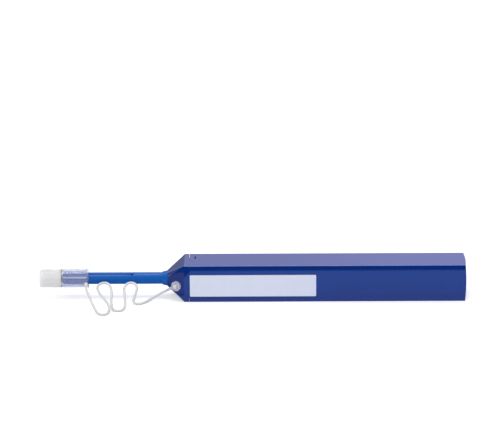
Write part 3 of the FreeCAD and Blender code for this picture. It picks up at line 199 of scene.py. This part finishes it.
def clear(name, colour):
    """Clear moulding with milky ribs: the plastic turns cloudy inside the cap's wall, which is the
    part further than the wall's inner radius from the cap's own axis."""
    low, high = (Vector(corner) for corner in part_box("guide_cap"))
    middle = (low + high) / 2
    inner = high.y - CAP_RIM - CAP_WALL
    material, node = new_material(name)
    where = node("ShaderNodeTexCoord").outputs["Object"]
    from_axis = node("ShaderNodeMapping", {
        "Vector": where, "Location": (0, 0, -middle.z), "Scale": (0, 1, 1)}).outputs["Vector"]
    radius = node("ShaderNodeVectorMath", {0: from_axis}, operation="LENGTH").outputs["Value"]
    clearness = node("ShaderNodeMapRange", {
        "Value": radius, "From Min": inner - CAP_RIM, "From Max": inner,
        "To Min": 0.3, "To Max": 0.92}).outputs[0]
    patches = noise(node, where, 420.0, 3.0, 0.6)
    return finish_material(material, node, node("ShaderNodeBsdfPrincipled", {
        "Base Color": two_tones(node, patches, tone(colour, 0.99), colour),
        "Roughness": spread(node, patches, 0.015, 0.03),
        "Transmission Weight": clearness,
        "IOR": 1.49}))


def rubber(name, colour):
    """Dull rubber with a fine uneven skin."""
    material, node = new_material(name)
    where = node("ShaderNodeTexCoord").outputs["Object"]
    skin = noise(node, where, 3000.0, 5.0, 0.7)
    return finish_material(material, node, node("ShaderNodeBsdfPrincipled", {
        "Base Color": two_tones(node, skin, tone(colour, 0.8), tone(colour, 1.3)),
        "Roughness": spread(node, skin, 0.6, 0.85),
        "Normal": bump(node, skin, 0.4, 0.00003)}))


CASE_BLUE = (0.001, 0.025, 0.185)
NOZZLE_BLUE = (0.001, 0.098, 0.420)

FINISHES = {
    # The case's colour carries a painted highlight along its long rounded edges.
    "case_plastic": moulded("moulded_case_blue", CASE_BLUE, 0.05, depth=0.000002,
                            edge_highlight=(0.15, 0.17, 0.55), **{"IOR": 1.58}),
    "nozzle_plastic": moulded("moulded_nozzle_blue", NOZZLE_BLUE, 0.2, depth=0.000006,
                              **{"Specular IOR Level": 0.3}),
    "label_film": film("label_stock", (0.675, 0.71, 0.83)),
    "inner_plastic": moulded("moulded_natural_white", (0.75, 0.75, 0.72), 0.4),
    "pin_steel": steel("ground_steel", (0.62, 0.61, 0.59), 0.25),
    "tether_plastic": moulded(
        "moulded_translucent_nylon", (0.66, 0.66, 0.675), 0.35, variation=0.03,
        **{"Subsurface Weight": 0.3, "Subsurface Radius": (1.0, 1.0, 1.0), "Subsurface Scale": 0.0006}),
    "ring_rubber": rubber("black_rubber", (0.03, 0.03, 0.03)),
    "thread": twisted("cleaning_thread", (0.88, 0.88, 0.85)),
    "mouth_plastic": moulded("moulded_white_acetal", (0.86, 0.86, 0.83), 0.3),
    "gear_plastic": moulded("moulded_cream_acetal", (0.82, 0.80, 0.72), 0.35),
    "clear_plastic": clear("clear_moulding", (0.77, 0.81, 0.93)),
    "tether_eyelet": moulded(
        "moulded_clear_nylon", (0.74, 0.76, 0.88), 0.12, variation=0.03,
        **{"Transmission Weight": 0.5, "IOR": 1.45}),
    "frosted_plastic": moulded(
        "frosted_moulding", (0.90, 0.897, 0.91), 0.5, variation=0.02,
        **{"Transmission Weight": 0.2, "IOR": 1.2, "Subsurface Weight": 0.6,
           "Subsurface Radius": (1.0, 1.0, 1.0), "Subsurface Scale": 0.004}),
}


# ---------------------------------------------------------------- the tether

TETHER_DIAMETER = 1.2 * MM
LUG = (-78.75, -6.25, 6.96)
STEM = (-40.16, -4.545, 4.6)
FIRST_LEG = [(-78.4, -8.96, 6.08), (-76.85, -13.2, 4.6), (-75.15, -18.8, 2.9),
             (-73.15, -23.9, 1.3), (-71.55, -27.1, 0.65), (-68.05, -27.2, 0.65),
             (-66.65, -23.2, 1.5), (-67.75, -18.6, 2.9), (-70.65, -13.6, 4.5), (-72.85, -9.4, 5.8)]
SECOND_LEG = [(-73.5, -5.9, 7.0), (-71.55, -4.3, 8.1), (-68.3, -4.3, 8.1), (-66.7, -6.9, 6.5),
              (-66.35, -11.3, 4.7), (-66.55, -16.0, 2.9), (-65.75, -20.0, 1.2),
              (-64.65, -22.1, 0.65), (-61.05, -22.0, 0.65), (-59.65, -18.8, 1.7),
              (-60.0, -14.2, 3.5), (-60.5, -9.7, 5.1)]
THIRD_LEG = [(-60.7, -6.2, 6.9), (-58.9, -4.3, 8.1), (-55.9, -4.3, 8.1), (-54.45, -6.3, 6.7),
             (-55.1, -8.8, 4.6), (-56.15, -11.2, 2.4), (-56.0, -12.8, 0.9), (-53.45, -13.3, 0.65),
             (-50.5, -10.6, 0.75), (-47.8, -7.5, 1.3), (-45.1, -4.8, 2.1), (-42.3, -3.3, 3.2)]


def between(first, second):
    """The point halfway between two."""
    return tuple((a + b) / 2 for a, b in zip(first, second))


def smooth_line(points):
    """The line of a NURBS curve of order three with these points as its control points, in metres."""
    curve = bpy.data.curves.new("route", "CURVE")
    curve.dimensions = "3D"
    spline = curve.splines.new("NURBS")
    spline.points.add(len(points) - 1)
    for control, point in zip(spline.points, points):
        control.co = (*(x * MM for x in point), 1)
    spline.order_u = 3
    spline.use_endpoint_u = True
    spline.resolution_u = 8
    holder = bpy.data.objects.new("route", curve)
    bpy.context.scene.collection.objects.link(holder)
    bpy.context.view_layer.update()
    mesh = bpy.data.meshes.new_from_object(holder)
    line = np.empty(3 * len(mesh.vertices))
    mesh.vertices.foreach_get("co", line)
    bpy.data.objects.remove(holder)
    bpy.data.curves.remove(curve)
    bpy.data.meshes.remove(mesh)
    return line.reshape(-1, 3)


def tube_mesh(name, points):
    """A closed tube over an array of points, rows by columns by three: each row is a ring, and a fan
    round the middle of the first and the last ring closes it."""
    rows, columns = points.shape[:2]
    row, column = np.meshgrid(np.arange(rows - 1), np.arange(columns), indexing="ij")
    after = (column + 1) % columns
    sides = np.stack([row * columns + column, row * columns + after,
                      (row + 1) * columns + after, (row + 1) * columns + column], -1).reshape(-1, 4)
    vertices = np.concatenate([points.reshape(-1, 3), points[0].mean(0)[None],
                               points[-1].mean(0)[None]])
    first, last, end = rows * columns, rows * columns + 1, (rows - 1) * columns
    ring, onward = np.arange(columns), (np.arange(columns) + 1) % columns
    front = np.stack([np.full(columns, first), onward, ring], -1)
    back = np.stack([np.full(columns, last), end + ring, end + onward], -1)
    faces = sides.tolist() + front.tolist() + back.tolist()
    mesh = bpy.data.meshes.new(name)
    mesh.from_pydata(vertices.tolist(), [], faces)
    mesh.validate()
    mesh.shade_smooth()
    piece = bpy.data.objects.new(name, mesh)
    bpy.context.scene.collection.objects.link(piece)
    return piece


def carried_frames(line):
    """Two unit vectors across the line at each of its points. Each pair is the pair before it with
    what lies along the new direction taken out, so the section never twists."""
    along = np.gradient(line, axis=0)
    along /= np.linalg.norm(along, axis=1)[:, None]
    side = np.cross(along[0], (0, 0, 1))
    sides = []
    for direction in along:
        side = side - direction * np.dot(side, direction)
        side = side / np.linalg.norm(side)
        sides.append(side)
    sides = np.array(sides)
    return sides, np.cross(along, sides)


def round_strand(name, line, diameter, segments=20):
    """A round strand: circles of the given diameter, square to the line at each of its points."""
    sides, ups = carried_frames(line)
    angle = np.linspace(0, TAU, segments, endpoint=False)
    ring = (np.cos(angle)[None, :, None] * sides[:, None, :]
            + np.sin(angle)[None, :, None] * ups[:, None, :])
    return tube_mesh(name, line[:, None, :] + ring * diameter / 2)


def tether_piece(name, node, points):
    """One leg of the tether, a round strand along a smooth curve from its first point to its last."""
    line = smooth_line(points)
    piece = round_strand(name, line, TETHER_DIAMETER)
    piece.data.materials.append(FINISHES["tether_plastic"])
    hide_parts(node)
    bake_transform(piece)


def make_tether():
    """Three legs that meet halfway between the last point of one and the first of the next."""
    first_join = between(FIRST_LEG[-1], SECOND_LEG[0])
    second_join = between(SECOND_LEG[-1], THIRD_LEG[0])
    tether_piece("front_strand", "tether_front", [LUG, *FIRST_LEG, first_join])
    tether_piece("middle_strand", "tether_middle", [first_join, *SECOND_LEG, second_join])
    tether_piece("rear_strand", "tether_rear", [second_join, *THIRD_LEG, STEM])


make_tether()


# ---------------------------------------------------------------- springs and inner thread

STEPS_A_TURN = 32
RUN_STEPS = 120


def coil(name, node, wire, turns):
    """A compression spring: a circle of wire carried along x = start + pitch a, y = -r sin a and
    z = r cos a, with a from nothing to all its turns. It fills the length and width of the
    spring's own part."""
    low, high = (Vector(corner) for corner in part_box(node))
    middle = (low + high) / 2
    radius = (high.y - low.y - wire) / 2
    turn = np.linspace(0, TAU * turns, STEPS_A_TURN * turns + 1)
    line = np.stack([np.linspace(low.x + wire / 2, high.x - wire / 2, len(turn)),
                     middle.y - radius * np.sin(turn), middle.z + radius * np.cos(turn)], -1)
    piece = round_strand(name, line, wire, segments=12)
    piece.data.materials.append(FINISHES["pin_steel"])
    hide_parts(node)
    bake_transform(piece)


def make_springs():
    """The spring behind the sliding case and the small one behind the cleaning tip."""
    coil("return_coil", "return_spring", wire=0.7 * MM, turns=9)
    coil("tip_coil", "tip_spring", wire=0.2 * MM, turns=7)


def rod_run(name, side, diameter):
    """One of the two straight runs of thread in the rod: a circle carried along the rod from the
    front end of the rod thread's part. It ends its own thickness short
    of the thread from the reels, which it turns past."""
    low, high = (Vector(corner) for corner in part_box("rod_thread"))
    height = (low.z + high.z) / 2 + side * (high.z - low.z - diameter) / 2
    line = np.linspace((low.x, (low.y + high.y) / 2, height),
                       (high.x - diameter, (low.y + high.y) / 2, height), RUN_STEPS)
    piece = round_strand(name, line, diameter, segments=16)
    piece.data.materials.append(FINISHES["thread"])
    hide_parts("rod_thread")
    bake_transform(piece)


def make_rod_thread():
    """The run that goes out to the tip and the run that comes back from it."""
    rod_run("upper_rod_thread", side=1, diameter=0.3 * MM)
    rod_run("lower_rod_thread", side=-1, diameter=0.3 * MM)


make_springs()
make_rod_thread()


# ---------------------------------------------------------------- CAD nodes

# A node whose own name is in FINISHES wears that finish, and the others go by their CAD material.
for shown in NODES.values():
    for place in shown.material_slots:
        place.material = FINISHES.get(shown.name, FINISHES[place.material.name.split(".")[0]])


# ---------------------------------------------------------------- studio

LIGHT_GREY = (0.86, 0.86, 0.87)
FLOOR_GLOW = 0.42
ROOM_LIGHT, ROOM_SEEN = 0.55, 1.0
BLACK_CARD = 0.02
CARD_STEP = 0.00002


def seen_ray(node):
    """One for what the camera sees, straight, mirrored or through clear plastic, and zero for what
    only lights the pen."""
    path = node("ShaderNodeLightPath").outputs
    straight = node("ShaderNodeMath", {0: path["Is Camera Ray"], 1: path["Is Transmission Ray"]},
                    operation="MAXIMUM")
    return node("ShaderNodeMath", {0: straight.outputs[0], 1: path["Is Glossy Ray"]},
                operation="MAXIMUM").outputs[0]


def flat_sheet(name, corners, material):
    """One flat face of the studio, through its corners."""
    mesh = bpy.data.meshes.new(name)
    mesh.from_pydata(corners, [], [range(len(corners))])
    mesh.materials.append(material)
    sheet = bpy.data.objects.new(name, mesh)
    bpy.context.scene.collection.objects.link(sheet)
    return sheet


def reflection_card(name, corners, brightness, colour=(1, 1, 1), right_colour=None):
    """A studio card that shows only in glossy surfaces and neither lights nor shades the pen. Its
    colour may turn into another one towards its right side."""
    material, node = new_material(name)
    tint = (*colour, 1)
    if right_colour:
        where = node("ShaderNodeTexCoord").outputs["Object"]
        along = node("ShaderNodeMapRange", {
            "Value": node("ShaderNodeSeparateXYZ", {"Vector": where}).outputs["X"],
            "From Min": corners[0][0], "From Max": corners[1][0]}).outputs[0]
        tint = two_tones(node, along, colour, right_colour)
    glow = node("ShaderNodeEmission", {"Color": tint, "Strength": brightness})
    card = flat_sheet(name, corners, finish_material(material, node, glow))
    card.visible_camera = False
    card.visible_diffuse = False
    card.visible_transmission = False
    card.visible_volume_scatter = False
    card.visible_shadow = False


def lying(left, right, far, near, layer):
    """The corners of a card that lies on the floor, on top of the cards with lower layers."""
    lift = layer * CARD_STEP
    return [(left, far, lift), (right, far, lift), (right, near, lift), (left, near, lift)]


def upright(start, end, low, high):
    """The corners of a card that stands on the line between two places on the floor."""
    return [(*start, low), (*end, low), (*end, high), (*start, high)]


def make_floor_cards(cap_end, nose_end):
    """What the pen's front mirrors: black floor far off, which gives the dark band under its top
    edge, and blue cards nearer, which turn greyer towards its bottom edge. The black one ends
    beside the clear cap, whose walls would carry it round inside them."""
    near, far, right = -0.0095, -1.5, 0.6
    narrow, wide = -0.020, -0.053
    reflection_card("dark_card", lying(cap_end, 1.5, far, near, 1), BLACK_CARD)
    slanted = lying(nose_end, right, wide, near, 2)
    slanted[0] = (nose_end + 0.01, wide, 2 * CARD_STEP)
    slanted.insert(0, (nose_end, narrow, 2 * CARD_STEP))
    reflection_card("near_card", slanted, 1.0, (0.5, 0.72, 1.8))
    reflection_card("low_card", lying(nose_end, right, -0.031, near, 4), 1.0, (0.51, 0.64, 1.5))
    reflection_card("lowest_card", lying(nose_end, right, -0.02, near, 6), 1.0, (0.52, 0.56, 1.15))
    reflection_card("nozzle_card", lying(cap_end, nose_end, narrow, -narrow, 2), 0.12)


def make_upright_cards(nose_end):
    """Tall black panels far in front and beyond the nozzle, cards behind the pen for its top and
    the nose's top to mirror, and a small one beside the nose's front face, dark in its upper half."""
    front, back = -1.5, 0.3
    beside, turn = nose_end - 0.004, 0.0105
    reflection_card("dark_panel", upright((-0.172, front), (2.5, front), 0, 1.6), BLACK_CARD)
    reflection_card("side_panel", upright((-1, -0.7), (-1, 0.5), 0.2, 1.2), BLACK_CARD)
    reflection_card("nose_card", upright((-0.2, back), (-0.05, back), 0, 0.085), 0.36)
    reflection_card("back_card", upright((-0.044, back), (0.14, back), 0.04, 0.3), 1.6,
                    (0.57, 0.56, 0.83), (0.63, 0.63, 1.0))
    reflection_card("flank_card", upright((beside, -0.03), (beside, -0.0055), 0, turn), 1.0,
                    (0.45, 0.32, 0.4))
    reflection_card("flank_shade", upright((beside, -0.03), (beside, -0.0055), turn, 0.02),
                    BLACK_CARD)


def make_cards():
    """Every card, placed from the ends of the cap and the nose."""
    cap_end = float(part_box("guide_cap")[1][0])
    nose_end = float(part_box("nose_cone")[0][0])
    make_floor_cards(cap_end, nose_end)
    make_upright_cards(nose_end)


def set_background():
    """White wherever it is seen, and a plain dim white as light."""
    world = bpy.data.worlds.new("studio")
    bpy.context.scene.world = world
    world.use_nodes = True
    world.node_tree.nodes.clear()
    node = node_maker(world.node_tree)
    strength = node("ShaderNodeMapRange", {
        "Value": seen_ray(node), "To Min": ROOM_LIGHT, "To Max": ROOM_SEEN})
    background = node("ShaderNodeBackground", {
        "Color": (1, 1, 1, 1), "Strength": strength.outputs[0]})
    node("ShaderNodeOutputWorld", {"Surface": background.outputs[0]})


def make_floor():
    """A pale floor that shows white to the camera, with the object's shadow kept."""
    material, node = new_material("pale_floor")
    matte = node("ShaderNodeBsdfDiffuse", {"Color": (*LIGHT_GREY, 1)})
    glow = node("ShaderNodeEmission", {"Color": (1, 1, 1, 1), "Strength": FLOOR_GLOW})
    both = node("ShaderNodeAddShader")
    material.node_tree.links.new(matte.outputs[0], both.inputs[0])
    material.node_tree.links.new(glow.outputs[0], both.inputs[1])
    pick = node("ShaderNodeMixShader", {"Fac": seen_ray(node)})
    material.node_tree.links.new(matte.outputs[0], pick.inputs[1])
    material.node_tree.links.new(both.outputs[0], pick.inputs[2])
    flat_sheet("floor", [(-4, -4, 0), (4, -4, 0), (4, 4, 0), (-4, 4, 0)],
               finish_material(material, node, pick))


def soft_light(name, place, target, size, power):
    """An area lamp that looks at the target."""
    lamp = bpy.data.lights.new(name, "AREA")
    lamp.shape = "RECTANGLE"
    lamp.size, lamp.size_y = size
    lamp.energy = power
    holder = bpy.data.objects.new(name, lamp)
    holder.location = place
    holder.rotation_euler = (Vector(target) - Vector(place)).to_track_quat("-Z", "Y").to_euler()
    bpy.context.scene.collection.objects.link(holder)
    return holder


def make_lights():
    """A broad lamp overhead, and a fill from the front left that nothing glossy mirrors."""
    soft_light("overhead", (0.0, 0.1, 0.9), (0, 0, 0), size=(0.8, 0.5), power=3.8)
    front_fill = soft_light("front_fill", (-0.35, -0.9, 0.45), (0, 0, 0), size=(0.7, 0.5), power=3.4)
    front_fill.visible_glossy = False


CAMERA_TARGET = Vector((-0.00657, 0, 0.03624))
CAMERA_DISTANCE = 1.3
CAMERA_ELEVATION, CAMERA_AZIMUTH, CAMERA_ROLL = 18.414, 0.551, -0.421
SENSOR_MM, LENS_MM = 36, 208.56604


def make_camera():
    """A long lens from the front, a little above the pen."""
    elevation, azimuth, roll = (
        math.radians(degrees) for degrees in (CAMERA_ELEVATION, CAMERA_AZIMUTH, CAMERA_ROLL))
    back = Vector((math.sin(azimuth) * math.cos(elevation), -math.cos(azimuth) * math.cos(elevation),
                   math.sin(elevation)))
    right = Vector((math.cos(azimuth), math.sin(azimuth), 0))
    up = back.cross(right)
    right, up = (math.cos(roll) * right + math.sin(roll) * up,
                 math.cos(roll) * up - math.sin(roll) * right)
    lens = bpy.data.cameras.new("camera")
    lens.sensor_width = SENSOR_MM
    lens.lens = LENS_MM
    lens.clip_start, lens.clip_end = 0.05, 20
    camera = bpy.data.objects.new("camera", lens)
    bpy.context.scene.collection.objects.link(camera)
    turned = Matrix((right, up, back)).transposed().to_4x4()
    camera.matrix_world = Matrix.Translation(CAMERA_TARGET + back * CAMERA_DISTANCE) @ turned
    bpy.context.scene.camera = camera


set_background()
make_floor()
make_cards()
make_lights()
make_camera()
bpy.context.scene.view_settings.view_transform = "Standard"
